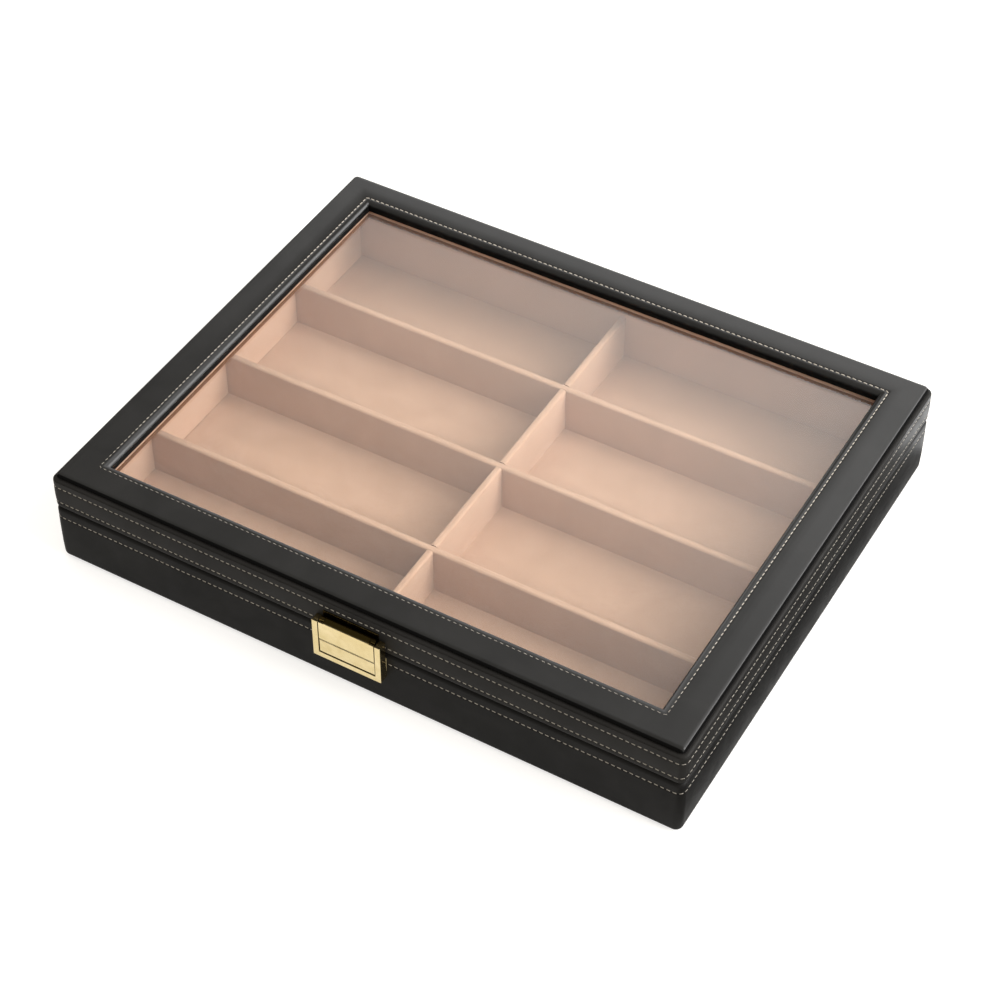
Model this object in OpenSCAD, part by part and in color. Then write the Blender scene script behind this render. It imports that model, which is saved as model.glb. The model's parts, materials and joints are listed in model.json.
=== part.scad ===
// Glasses display case: a leather-covered box with a glazed lid.
// The base holds two columns of four velvet compartments, and the lid swings on two rear hinges.
// Millimetres, Z up, front towards -Y, origin under the middle of the base.

/* [Case] */
// Outside width of the base, over its leather
case_w = 370; // [300:1:440]
// Outside depth of the base, over its leather
case_d = 295; // [240:1:360]
// Height of the base, from the table to the seam under the lid
base_h = 37.5; // [34:0.5:60]
// Height of the lid's side band, from the seam to its shoulder
band_h = 20.4; // [17:0.1:30]
// Radius of the upright corners
corner_r = 4.2; // [4:0.1:8]
// Radius of the base's bottom edge
bottom_r = 3.4; // [2:0.1:4]
// Radius of the leather edges that meet at the seam
seam_r = 2.4; // [1.5:0.1:2.8]
// Radius of the shoulder at the top of the lid's band
shoulder_r = 1.7; // [1.5:0.1:2.4]

/* [Walls] */
// Thickness of the wooden walls of the base and the lid
wall_t = 5; // [4:0.5:8]
// Thickness of the padded leather on the walls
leather_t = 1.2; // [1:0.1:1.4]
// Thickness of the velvet-covered board that lines the walls
lining_t = 1.3; // [0.8:0.1:2.5]
// How far the base lining stops below the seam
lining_drop = 1; // [0.5:0.5:4]
// Thickness of the floor board
floor_t = 2.2; // [2:0.1:5]
// Thickness of the velvet pad on the floor
floor_pad_t = 1.2; // [0.8:0.1:4]
// Thickness of the felt sheet under the base
felt_t = 0.8; // [0.6:0.1:2]
// Distance from the base's side to the edge of the felt
felt_inset = 5; // [4.5:0.5:10]

/* [Compartments] */
// Thickness of a velvet-covered divider
divider_t = 4; // [3:0.5:8]
// Height of the dividers above the floor pad
divider_h = 28.8; // [20:0.2:34]
// Radius of the dividers' top edges
divider_r = 1.2; // [0.5:0.1:1.4]
// Play in the slots where two dividers cross, on each side
lap_play = 0.1; // [0.05:0.05:0.3]
// Play at the ends of a divider
divider_play = 0.1; // [0.05:0.05:0.5]

/* [Window frame] */
// Thickness of the frame, from the lid's shoulder to the top
frame_t = 3.1; // [3.1:0.1:6]
// How far the frame stands in from the lid's side
frame_inset = 2; // [1.2:0.1:4]
// Width of the frame on the left and the right
frame_side_w = 21.6; // [17:0.1:40]
// Width of the frame at the front and the back
frame_end_w = 19.4; // [17:0.1:40]
// Thickness of the leather on the frame
frame_leather_t = 0.7; // [0.6:0.1:0.8]
// Radius of the frame's upright corners
frame_corner_r = 2.8; // [2.5:0.1:8]
// Radius of the frame's outer top edge
frame_edge_r = 2.2; // [1.6:0.1:2.3]
// Radius of the frame's outer lower edge
frame_low_r = 0.4; // [0.3:0.1:0.5]
// Radius of the board's top edge under the leather
frame_board_r = 0.9; // [0.6:0.1:1]
// Radius of the leather where it turns down into the window
window_r = 3; // [1.5:0.1:3.2]
// Height of the shadow groove under the frame's edge
groove_h = 0.4; // [0.2:0.1:0.5]
// Depth of the shadow groove
groove_depth = 1.5; // [1.3:0.1:2]

/* [Pane] */
// How far the pane lies below the top of the lid's band
pane_drop = 2.8; // [1.5:0.1:5]
// Play round the frame's tongue inside the lid
tongue_play = 0.1; // [0.05:0.05:0.5]
// Thickness of the clear pane
pane_t = 2.5; // [2:0.1:4]
// Play round the edge of the pane
pane_play = 0.4; // [0.2:0.1:1]
// Height of the velvet bead that carries the pane
bead_h = 6; // [4:0.5:9]
// How far the bead stands back from the window's edge
bead_back = 1.5; // [0.5:0.5:4]
// Height of the bead's lip under the pane
bead_lip_h = 2.4; // [1.5:0.1:3]
// How far the bead stands back under its lip
bead_cove = 0.5; // [0.5:0.5:4]

/* [Hinges] */
// Distance from the case's side to the middle of each hinge
hinge_margin = 75; // [55:1:110]
// Length of a hinge
hinge_len = 40; // [25:1:50]
// Outside radius of the hinge barrel
knuckle_r = 2; // [1.8:0.1:3]
// Radius of the hinge pin
hinge_pin_r = 1; // [0.8:0.1:1.2]
// How deep a leaf reaches in over the wall
leaf_reach = 5.8; // [4:0.1:6]
// Gap between the two closed leaves
leaf_gap = 0.2; // [0.1:0.05:0.4]
// Play round a leaf in its pocket
leaf_play = 0.1; // [0.05:0.05:0.3]
// Gap between the barrel and the leather behind it
barrel_gap = 0.3; // [0.2:0.1:1]
// Gap between two knuckles along the pin
knuckle_gap = 0.3; // [0.2:0.1:0.6]
// Play of a pin in its knuckles, on the radius
pin_play = 0.05; // [0.02:0.01:0.1]

/* [Latch] */
// Width of the latch over its keeper
latch_w = 40; // [34:0.5:60]
// Height of the keeper
latch_h = 25.5; // [22:0.5:30]
// How far the keeper stands out from the leather
latch_depth = 5.8; // [5.6:0.1:8]
// How far the keeper's arms reach above the seam
latch_rise = 9.3; // [7:0.1:11]
// Width of the keeper's rim
rim_w = 3.3; // [2:0.1:5]
// Thickness of the keeper's back plate
keeper_t = 0.8; // [0.6:0.1:1.5]
// Radius of the keeper's corners
keeper_r = 1.2; // [0.8:0.1:2]
// Radius of the keeper's front edges
keeper_edge_r = 0.6; // [0.3:0.1:0.8]
// Gap between the keeper's arms and the lid
arm_gap = 0.5; // [0.3:0.1:1]
// Thickness of the flap
flap_t = 1.1; // [0.8:0.1:1.4]
// Play round the flap inside the keeper
flap_play = 0.5; // [0.2:0.1:0.8]
// How far the flap's upper half lies behind the keeper's face
flap_sink = 0.2; // [0:0.1:0.6]
// How far the flap's lower half steps back
flap_step = 0.3; // [0.3:0.1:1.2]
// Height of the flap's lower half
grip_h = 9.5; // [6:0.5:12]
// Outside radius of the latch's knuckles
latch_knuckle_r = 1.6; // [1.4:0.1:1.8]
// How far the latch pin lies below the top of the arms
latch_pin_drop = 0.2; // [0:0.1:1]
// Gap between the latch's knuckles and the bracket's plate
latch_barrel_gap = 0.1; // [0.1:0.1:0.5]
// Radius of the latch pin
latch_pin_r = 0.8; // [0.6:0.1:1]
// Length of each end knuckle on the bracket
end_knuckle = 2.6; // [2:0.1:6]
// Thickness of the bracket's plate
bracket_t = 0.8; // [0.6:0.1:1]
// How far the bracket's plate reaches above the pin
bracket_rise = 4; // [1.8:0.1:4.5]
// How far the bracket's plate reaches below the pin
bracket_fall = 2.6; // [2:0.1:4]
// Radius of the stop boss behind the flap
boss_r = 3; // [2:0.5:4]
// Gap between the stop boss and the closed flap
boss_gap = 0.2; // [0.1:0.1:0.5]

/* [Hidden] */
$fn = 48;
// Overrun of a cut past the face that it leaves through
through = 1;
// Least radius of an edge that nothing shows
hidden_r = 0.1;

// Heights of the main levels above the table
z_wrap = felt_t;
z_pad = felt_t + floor_t;
z_tray = z_pad + floor_pad_t;
z_seam = base_h;
z_band = z_seam + band_h;
z_top = z_band + frame_t;

// Plan of the wooden walls, and of the space inside their lining
core_w = case_w - 2 * leather_t;
core_d = case_d - 2 * leather_t;
room_w = core_w - 2 * wall_t;
room_d = core_d - 2 * wall_t;
tray_w = room_w - 2 * lining_t;
tray_d = room_d - 2 * lining_t;

// Plan of the window frame and its opening
top_w = case_w - 2 * frame_inset;
top_d = case_d - 2 * frame_inset;
window_w = top_w - 2 * frame_side_w;
window_d = top_d - 2 * frame_end_w;
sleeve_w = window_w + 2 * frame_leather_t;
sleeve_d = window_d + 2 * frame_leather_t;

// Step from one cross divider to the next
row_pitch = (tray_d + divider_t) / 4;

// Top and underside of the pane, where the frame's tongue, the beads and the lid lining end
z_tongue = z_band - pane_drop;
z_pane = z_tongue - pane_t;
z_bead = z_pane - bead_h;

// Hinge axis, just behind the seam
hinge_x = case_w / 2 - hinge_margin;
hinge_y = case_d / 2 + barrel_gap + knuckle_r;
knuckle_len = (hinge_len - 2 * knuckle_gap) / 3;

// Latch levels, and the plane of the front leather
front_y = -case_d / 2;
z_arm = z_seam + latch_rise;
z_keeper = z_arm - latch_h;
face_y = front_y - latch_depth;
flap_w = latch_w - 2 * rim_w - 2 * flap_play;
latch_y = front_y - bracket_t - latch_barrel_gap - latch_knuckle_r;
z_latch = z_arm - latch_pin_drop;
flap_front = face_y + flap_sink;
z_flap = z_keeper + rim_w + flap_play;
flap_knuckle = flap_w - 2 * end_knuckle - 2 * knuckle_gap;

// Box centred in plan, standing on z
module block(w, d, h, z) {
    translate([-w / 2, -d / 2, z]) cube([w, d, h]);
}

// Section of a slab's edge, from its corner centre out to its face
module edge_profile(reach, h, top_r, low_r) {
    translate([0, low_r]) square([reach, h - low_r - top_r]);
    square([reach - low_r, low_r]);
    translate([0, h - top_r]) square([reach - top_r, top_r]);
    translate([reach - low_r, low_r]) intersection() {
        circle(low_r);
        translate([0, -low_r]) square(low_r);
    }
    translate([reach - top_r, h - top_r]) intersection() {
        circle(top_r);
        square(top_r);
    }
}

// Slab with rounded upright corners and rounded top and bottom edges
module slab(w, d, h, corner, top_r, low_r) {
    for (turn = [0 : 3]) {
        long = turn % 2 == 0 ? w : d;
        wide = turn % 2 == 0 ? d : w;
        rotate(turn * 90) {
            translate([long / 2 - corner, wide / 2 - corner, 0])
                rotate_extrude(angle = 90) edge_profile(corner, h, top_r, low_r);
            translate([long / 2 - corner, 0, 0]) rotate([90, 0, 0])
                linear_extrude(wide - 2 * corner, center = true)
                    edge_profile(corner, h, top_r, low_r);
        }
    }
    block(w - 2 * corner, d - 2 * corner, h, 0);
}

// Share of a frame that belongs to one side, cut on its mitres
module mitre(side, w, d, mx, my, z, h) {
    x = w / 2;
    y = d / 2;
    translate([0, 0, z]) linear_extrude(h)
        polygon(
            side == "front" ? [[-x, -y], [x, -y], [x - mx, my - y], [mx - x, my - y]] :
            side == "back" ? [[-x, y], [x, y], [x - mx, y - my], [mx - x, y - my]] :
            side == "left" ? [[-x, -y], [-x, y], [mx - x, y - my], [mx - x, my - y]] :
            [[x, -y], [x, y], [x - mx, y - my], [x - mx, my - y]]
        );
}

// Wooden walls of the base, as one solid block
module base_core() {
    translate([0, 0, z_wrap + leather_t])
        slab(core_w, core_d, z_seam - z_wrap - 2 * leather_t,
            corner_r - leather_t, seam_r - leather_t, bottom_r - leather_t);
}

// One wall of the base, mitred at its ends
module base_wall(side) {
    color("peru") intersection() {
        base_core();
        mitre(side, core_w, core_d, wall_t, wall_t, 0, z_seam);
    }
}

module base_front() { base_wall("front"); }
module base_back() { base_wall("back"); }
module base_left() { base_wall("left"); }
module base_right() { base_wall("right"); }

// Pocket in the leather for one hinge leaf, above or below the seam
module leaf_pocket(x, z) {
    translate([x - hinge_len / 2 - leaf_play, case_d / 2 - leaf_reach - leaf_play, z])
        cube([hinge_len + 2 * leaf_play, leaf_reach + leaf_play + through, leather_t]);
}

// Leather round the outside of the base, turned over the rim and under the bottom edge
module base_wrap() {
    color("dimgray") difference() {
        translate([0, 0, z_wrap])
            slab(case_w, case_d, z_seam - z_wrap, corner_r, seam_r, bottom_r);
        base_core();
        block(room_w, room_d, z_seam + 2 * through, -through);
        for (x = [-hinge_x, hinge_x]) leaf_pocket(x, z_seam - leather_t);
    }
}

// Board that closes the bottom, let in between the walls
module floor_board() {
    color("burlywood") block(room_w, room_d, floor_t, z_wrap);
}

// Felt sheet on which the case stands
module felt_sheet() {
    color("darkslategray")
        linear_extrude(felt_t) rounded_plan(case_w - 2 * felt_inset, case_d - 2 * felt_inset, corner_r);
}

// Rectangle with rounded corners
module rounded_plan(w, d, r) {
    square([w - 2 * r, d], center = true);
    square([w, d - 2 * r], center = true);
    for (sx = [-1, 1], sy = [-1, 1])
        translate([sx * (w / 2 - r), sy * (d / 2 - r)]) circle(r);
}

// Velvet pad over the floor board
module floor_pad() {
    color("tan") block(tray_w, tray_d, floor_pad_t, z_pad);
}

// Velvet lining of one wall, on the inside of a room of the given height
module lining(side, z, h) {
    color("wheat")
        if (side == "front" || side == "back")
            translate([-room_w / 2, side == "front" ? -room_d / 2 : tray_d / 2, z])
                cube([room_w, lining_t, h]);
        else
            translate([side == "left" ? -room_w / 2 : tray_w / 2, -tray_d / 2, z])
                cube([lining_t, tray_d, h]);
}

module base_lining(side) { lining(side, z_pad, z_seam - lining_drop - z_pad); }
module base_lining_front() { base_lining("front"); }
module base_lining_back() { base_lining("back"); }
module base_lining_left() { base_lining("left"); }
module base_lining_right() { base_lining("right"); }

// Upright board along Y with a rounded top edge
module divider_board(len) {
    rotate([90, 0, 0]) linear_extrude(len, center = true)
        for (flip = [0, 1]) mirror([flip, 0])
            edge_profile(divider_t / 2, divider_h, divider_r, divider_r / 4);
}

// Slot that takes the crossing divider, in the upper or the lower half
module lap_slot(z) {
    block(divider_t + 2 * lap_play, divider_t + 2 * lap_play, divider_h / 2 + through, z);
}

// Divider from front to back, slotted from above
module divider_centre() {
    color("tan") translate([0, 0, z_tray]) difference() {
        divider_board(tray_d - 2 * divider_play);
        for (row = [-1 : 1])
            translate([0, row * row_pitch, 0]) lap_slot(divider_h / 2 - lap_play);
    }
}

// Divider from left to right, slotted from below
module divider_cross(row) {
    color("tan") translate([0, row * row_pitch, z_tray]) difference() {
        rotate(90) divider_board(tray_w - 2 * divider_play);
        lap_slot(-through);
    }
}

module divider_front() { divider_cross(-1); }
module divider_middle() { divider_cross(0); }
module divider_back() { divider_cross(1); }

// Wooden walls of the lid, as one solid block
module lid_core() {
    translate([0, 0, z_seam + leather_t])
        slab(core_w, core_d, band_h - 2 * leather_t,
            corner_r - leather_t, shoulder_r - leather_t, seam_r - leather_t);
}

// One wall of the lid, mitred at its ends
module lid_wall(side) {
    color("peru") intersection() {
        lid_core();
        mitre(side, core_w, core_d, wall_t, wall_t, z_seam, band_h);
    }
}

module lid_front() { lid_wall("front"); }
module lid_back() { lid_wall("back"); }
module lid_left() { lid_wall("left"); }
module lid_right() { lid_wall("right"); }

// Leather band round the lid, turned in at the seam and at the shoulder
module lid_wrap() {
    color("gray") difference() {
        translate([0, 0, z_seam])
            slab(case_w, case_d, band_h, corner_r, shoulder_r, seam_r);
        lid_core();
        block(room_w, room_d, band_h + 2 * through, z_seam - through);
        for (x = [-hinge_x, hinge_x]) leaf_pocket(x, z_seam);
    }
}

module lid_lining(side) { lining(side, z_seam + lining_drop, z_pane - z_seam - lining_drop); }
module lid_lining_front() { lid_lining("front"); }
module lid_lining_back() { lid_lining("back"); }
module lid_lining_left() { lid_lining("left"); }
module lid_lining_right() { lid_lining("right"); }

// Clear pane under the window frame
module pane() {
    color("lightcyan", 0.5) block(room_w - 2 * pane_play, room_d - 2 * pane_play, pane_t, z_pane);
}

// One step of the bead on one side, standing back from the window's edge
module bead_step(side, back, z, h) {
    mitre(side, tray_w, tray_d, (tray_w - window_w) / 2 - back, (tray_d - window_d) / 2 - back, z, h);
}

// Velvet bead that carries one side of the pane on its lip
module bead(side) {
    color("rosybrown") {
        bead_step(side, bead_back, z_pane - bead_lip_h, bead_lip_h);
        bead_step(side, bead_back + bead_cove, z_bead, bead_h - bead_lip_h);
    }
}

module bead_front() { bead("front"); }
module bead_back() { bead("back"); }
module bead_left() { bead("left"); }
module bead_right() { bead("right"); }

// Board inside the window frame, with the plinth on which it stands and the tongue inside the lid
module frame_core() {
    difference() {
        union() {
            translate([0, 0, z_band + groove_h + frame_leather_t])
                slab(top_w - 2 * frame_leather_t, top_d - 2 * frame_leather_t,
                    frame_t - groove_h - 2 * frame_leather_t,
                    frame_corner_r - frame_leather_t, frame_board_r, hidden_r);
            translate([0, 0, z_band]) linear_extrude(groove_h + 2 * frame_leather_t)
                rounded_plan(top_w - 2 * groove_depth, top_d - 2 * groove_depth,
                    frame_corner_r - groove_depth);
            block(room_w - 2 * tongue_play, room_d - 2 * tongue_play,
                pane_drop + groove_h, z_tongue);
        }
        block(sleeve_w, sleeve_d, pane_drop + frame_t + 2 * through, z_tongue - through);
        window_roll(sleeve_w, sleeve_d, z_top - frame_leather_t, window_r - frame_leather_t);
    }
}

// One rail of the window frame's board
module frame_rail(side) {
    color("sienna") intersection() {
        frame_core();
        mitre(side, top_w, top_d, frame_side_w, frame_end_w, z_tongue, pane_drop + frame_t);
    }
}

module frame_front() { frame_rail("front"); }
module frame_back() { frame_rail("back"); }
module frame_left() { frame_rail("left"); }
module frame_right() { frame_rail("right"); }

// Section that is cut away where the frame rolls down into the window
module roll_profile(r, overrun) {
    difference() {
        translate([-overrun, -r]) square([r + overrun, r + through]);
        translate([r, -r]) circle(r);
    }
}

// Rounded inner edge round the top of an opening
module window_roll(w, d, z, r) {
    for (turn = [0 : 3]) {
        long = turn % 2 == 0 ? w : d;
        wide = turn % 2 == 0 ? d : w;
        translate([0, 0, z]) rotate(turn * 90) {
            translate([long / 2, 0, 0]) rotate([90, 0, 0])
                linear_extrude(wide, center = true) roll_profile(r, through);
            translate([long / 2, wide / 2, 0]) rotate_extrude(angle = 90) roll_profile(r, 0);
        }
    }
}

// Leather over the window frame, turned under its edge and down into the window
module frame_wrap() {
    color("dimgray") difference() {
        union() {
            translate([0, 0, z_band + groove_h])
                slab(top_w, top_d, frame_t - groove_h, frame_corner_r, frame_edge_r, frame_low_r);
            block(window_w + 2 * window_r, window_d + 2 * window_r,
                pane_drop + groove_h + frame_leather_t, z_tongue);
        }
        frame_core();
        block(window_w, window_d, pane_drop + frame_t + 2 * through, z_tongue - through);
        window_roll(window_w, window_d, z_top, window_r);
    }
}

// Barrel along X, centred on its axis
module barrel(len, r) {
    rotate([0, 90, 0]) cylinder(h = len, r = r, center = true);
}

// Hinge leaf with its knuckles, in the base below the seam or in the lid above it
module hinge_leaf(x, part) {
    up = part == "lid" ? 1 : -1;
    low = up > 0 ? leaf_gap / 2 : -leather_t;
    steps = part == "lid" ? [0] : [-1, 1];
    color("goldenrod") translate([x, hinge_y, z_seam]) difference() {
        union() {
            translate([-hinge_len / 2, case_d / 2 - leaf_reach - hinge_y, low])
                cube([hinge_len, leaf_reach, leather_t - leaf_gap / 2]);
            for (step = steps) translate([step * (knuckle_len + knuckle_gap), 0, 0]) {
                barrel(knuckle_len, knuckle_r);
                translate([-knuckle_len / 2, case_d / 2 - hinge_y - leaf_reach / 2, low])
                    cube([knuckle_len, hinge_y - case_d / 2 + leaf_reach / 2, leather_t - leaf_gap / 2]);
            }
        }
        barrel(hinge_len + 2 * through, hinge_pin_r + pin_play);
    }
}

module hinge_leaf_base_left() { hinge_leaf(-hinge_x, "base"); }
module hinge_leaf_base_right() { hinge_leaf(hinge_x, "base"); }
module hinge_leaf_lid_left() { hinge_leaf(-hinge_x, "lid"); }
module hinge_leaf_lid_right() { hinge_leaf(hinge_x, "lid"); }

module hinge_pin(x) {
    color("gold") translate([x, hinge_y, z_seam]) barrel(hinge_len, hinge_pin_r);
}

module hinge_pin_left() { hinge_pin(-hinge_x); }
module hinge_pin_right() { hinge_pin(hinge_x); }

// Keeper on the base: a back plate in a rim that is open at the top
module latch_keeper() {
    slot_w = latch_w - 2 * rim_w;
    color("gold") difference() {
        translate([0, front_y, z_keeper + latch_h / 2]) rotate([90, 0, 0])
            slab(latch_w, latch_h, latch_depth, keeper_r, keeper_edge_r, hidden_r);
        // Space for the flap, open at the top
        translate([-slot_w / 2, face_y - through, z_keeper + rim_w])
            cube([slot_w, latch_depth + through - keeper_t, latch_h]);
        // Room for the lid behind the arms
        translate([-latch_w, front_y - arm_gap, z_seam - seam_r])
            cube([2 * latch_w, arm_gap + through, latch_h]);
        // The back plate stops below the seam
        translate([-slot_w / 2, face_y, z_seam - seam_r])
            cube([slot_w, latch_depth + through, latch_h]);
    }
    color("gold") translate([0, front_y - keeper_t, z_flap + grip_h / 2]) rotate([90, 0, 0])
        cylinder(h = boss_h(), r = boss_r);
}

// Height of the stop boss, up to the back of the flap's lower half
function boss_h() = front_y - keeper_t - (flap_front + flap_step + flap_t) - boss_gap;

// Bracket on the lid with the two end knuckles of the latch
module latch_bracket() {
    color("gold") difference() {
        union() {
            translate([-flap_w / 2, front_y - bracket_t, z_latch - bracket_fall])
                cube([flap_w, bracket_t, bracket_fall + bracket_rise]);
            for (side = [-1, 1]) translate([side * (flap_w - end_knuckle) / 2, 0, 0]) {
                translate([0, latch_y, z_latch]) barrel(end_knuckle, latch_knuckle_r);
                translate([-end_knuckle / 2, latch_y, z_latch - latch_knuckle_r])
                    cube([end_knuckle, front_y - latch_y, latch_knuckle_r]);
            }
        }
        translate([0, latch_y, z_latch]) barrel(latch_w, latch_pin_r + pin_play);
    }
}

module latch_pin() {
    color("goldenrod") translate([0, latch_y, z_latch]) barrel(flap_w, latch_pin_r);
}

// Section of the flap: a plate with a stepped-back grip
module flap_profile() {
    z_step = z_flap + grip_h;
    polygon([
        [flap_front + flap_step, z_flap],
        [flap_front + flap_step, z_step - flap_step],
        [flap_front, z_step + flap_step],
        [flap_front, z_latch],
        [flap_front + flap_t, z_latch],
        [flap_front + flap_t, z_step + flap_step],
        [flap_front + flap_step + flap_t, z_step - flap_step],
        [flap_front + flap_step + flap_t, z_flap]
    ]);
}

// Flap that hangs from the bracket and closes into the keeper
module latch_flap() {
    color("khaki") difference() {
        union() {
            translate([-flap_w / 2, 0, 0]) rotate([90, 0, 90])
                linear_extrude(flap_w) flap_profile();
            translate([0, latch_y, z_latch]) barrel(flap_knuckle, latch_knuckle_r);
            translate([-flap_knuckle / 2, flap_front, z_latch - flap_t])
                cube([flap_knuckle, latch_y - flap_front, 2 * flap_t]);
        }
        translate([0, latch_y, z_latch]) barrel(latch_w, latch_pin_r + pin_play);
    }
}

base_front();
base_back();
base_left();
base_right();
base_wrap();
floor_board();
felt_sheet();
floor_pad();
base_lining_front();
base_lining_back();
base_lining_left();
base_lining_right();
divider_centre();
divider_front();
divider_middle();
divider_back();
hinge_leaf_base_left();
hinge_leaf_base_right();
hinge_pin_left();
hinge_pin_right();
latch_keeper();
lid_front();
lid_back();
lid_left();
lid_right();
lid_wrap();
lid_lining_front();
lid_lining_back();
lid_lining_left();
lid_lining_right();
bead_front();
bead_back();
bead_left();
bead_right();
pane();
frame_front();
frame_back();
frame_left();
frame_right();
frame_wrap();
hinge_leaf_lid_left();
hinge_leaf_lid_right();
latch_bracket();
latch_pin();
latch_flap();
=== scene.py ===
"""Dressed model of a glasses display case.

A low box in black leather carries a glazed lid on two rear hinges. Velvet
boards divide the inside into eight compartments, and a gilt flap latch closes
the front. Lengths are metres, Z is up and the latch faces -Y.
"""

import json
import logging
import math
from abc import ABC, abstractmethod
from collections.abc import Callable, Sequence
from dataclasses import dataclass, field
from enum import Enum
from typing import Self

import bmesh
import bpy
from mathutils import Matrix, Vector


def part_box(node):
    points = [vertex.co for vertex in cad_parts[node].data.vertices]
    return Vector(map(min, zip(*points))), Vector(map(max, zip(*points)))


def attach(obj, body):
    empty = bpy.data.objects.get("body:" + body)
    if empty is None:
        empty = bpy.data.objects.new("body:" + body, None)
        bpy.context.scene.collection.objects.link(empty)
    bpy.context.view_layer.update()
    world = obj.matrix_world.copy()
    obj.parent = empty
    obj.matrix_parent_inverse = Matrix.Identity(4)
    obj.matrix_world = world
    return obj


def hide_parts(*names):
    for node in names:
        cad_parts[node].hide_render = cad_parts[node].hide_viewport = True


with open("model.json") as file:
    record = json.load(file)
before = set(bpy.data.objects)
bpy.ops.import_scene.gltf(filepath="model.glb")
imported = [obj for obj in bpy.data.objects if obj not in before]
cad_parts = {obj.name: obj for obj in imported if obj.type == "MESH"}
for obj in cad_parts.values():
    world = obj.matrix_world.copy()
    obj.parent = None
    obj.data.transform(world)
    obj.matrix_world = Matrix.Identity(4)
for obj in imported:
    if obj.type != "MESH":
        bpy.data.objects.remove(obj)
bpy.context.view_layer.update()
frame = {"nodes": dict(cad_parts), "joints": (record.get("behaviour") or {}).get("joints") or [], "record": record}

Triple = tuple[float, float, float]
Colour = Triple
Socket = bpy.types.NodeSocket
Feed = Socket | float | Sequence[float]
Feeds = dict[str | int, Feed]

MM = 0.001
TINY = 0.02 * MM
SLACK = 0.05 * MM
WELD_GAP = 0.5 * MM
THREAD_RISE = 0.12 * MM
CORNER_STEPS = 8
EDGE_STEPS = 6
FACING = 0.9
FLAT = 0.999
CHANNEL_SIDE = 0.6
DRIFT_SPAN = (0.3, 0.7)
HARD_ANGLE = 20.0
EDGE_ANGLE = 35.0
SOFT_ANGLE = 50.0
THREAD_ANGLE = 60.0
QUARTER = math.pi / 2
WHITE: Colour = (1.0, 1.0, 1.0)
ENDS = (-1, 1)
EDGES = (-0.5, 0.5)
ROWS = (-1, 0, 1)
log = logging.getLogger("display_case")


class Body(Enum):
    """Bodies of the case that move apart."""

    BASE = "base"
    LID = "lid"
    FLAP = "flap"


class Side(Enum):
    """Sides of the case, each with the way it faces in plan."""

    FRONT = (0, -1)
    BACK = (0, 1)
    LEFT = (-1, 0)
    RIGHT = (1, 0)

    @property
    def label(self) -> str:
        """Name of the side as it stands in node names."""
        return self.name.lower()


class Effect(Enum):
    """Surface effects that several finishes share."""

    DRIFT = "slow_drift"
    GRAIN = "pebble_grain"
    STRANDS = "fine_strands"
    LEVEL = "upper_level"
    RIM = "outer_rim"


# Shader nodes


class NodeSheet:
    """A node tree under construction."""

    def __init__(self, tree: bpy.types.NodeTree) -> None:
        """Start from an empty tree."""
        self.tree = tree
        tree.nodes.clear()

    def add(self, kind: str, feeds: Feeds | None = None, **settings: object) -> bpy.types.Node:
        """Add one node.

        Args:
            kind: Blender's identifier of the node type.
            feeds: Sockets and constants for its inputs, by name or number.
            **settings: Properties of the node to set first.

        Returns:
            The new node.
        """
        node = self.tree.nodes.new(kind)
        for key, value in settings.items():
            setattr(node, key, value)
        for key, value in (feeds or {}).items():
            if isinstance(value, Socket):
                self.tree.links.new(value, node.inputs[key])
            else:
                node.inputs[key].default_value = value
        return node

    def spot(self, kind: str = "Object") -> Socket:
        """Give the place of the shaded point."""
        return self.add("ShaderNodeTexCoord").outputs[kind]

    def math(self, operation: str, *values: Feed, clamp: bool = False) -> Socket:
        """Work out one number from others."""
        feeds = dict(enumerate(values))
        return self.add("ShaderNodeMath", feeds, operation=operation, use_clamp=clamp).outputs[0]

    def ramp(
        self,
        value: Socket,
        start: Feed,
        end: Feed,
        low: Feed = 0.0,
        high: Feed = 1.0,
        kind: str = "SMOOTHSTEP",
    ) -> Socket:
        """Rise from a low to a high number.

        Args:
            value: Number that is looked at.
            start: Where the rise starts.
            end: Where it ends.
            low: Number before the start.
            high: Number past the end.
            kind: Blender's name of the rise's shape.

        Returns:
            The number's socket.
        """
        feeds = {"Value": value, "From Min": start, "From Max": end, "To Min": low, "To Max": high}
        return self.add("ShaderNodeMapRange", feeds, clamp=True, interpolation_type=kind).outputs["Result"]

    def effect(self, effect: Effect, **values: Feed) -> Socket:
        """Place a shared effect with values for its named inputs."""
        feeds = {key.replace("_", " ").capitalize(): value for key, value in values.items()}
        return self.add("ShaderNodeGroup", feeds, node_tree=EffectLibrary.tree(effect)).outputs[0]

    def blend(self, share: Socket, first: Socket | Colour, second: Colour) -> Socket:
        """Mix two colours by a share that changes over the surface.

        Args:
            share: Output that says how much of the second colour shows.
            first: Colour at a share of 0.
            second: Colour at a share of 1.

        Returns:
            The mixed colour's socket.
        """
        start = first if isinstance(first, Socket) else (*first, 1.0)
        feeds = {"Factor": share, "A": start, "B": (*second, 1.0)}
        return self.add("ShaderNodeMix", feeds, data_type="RGBA").outputs["Result"]

    def relief(self, height: Socket, depth: float, under: Socket | None = None) -> Socket:
        """Turn a height into a normal.

        Args:
            height: Output that runs from 0 to 1.
            depth: Depth of the relief in metres.
            under: Normal of a relief that lies underneath.

        Returns:
            The normal's socket.
        """
        below = {} if under is None else {"Normal": under}
        feeds = {"Strength": 1.0, "Distance": depth, "Height": height, **below}
        return self.add("ShaderNodeBump", feeds).outputs["Normal"]

    def choose(self, share: Socket, first: Socket, second: Socket) -> Socket:
        """Mix two shaders by a share."""
        return self.add("ShaderNodeMixShader", {0: share, 1: first, 2: second}).outputs["Shader"]


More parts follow.
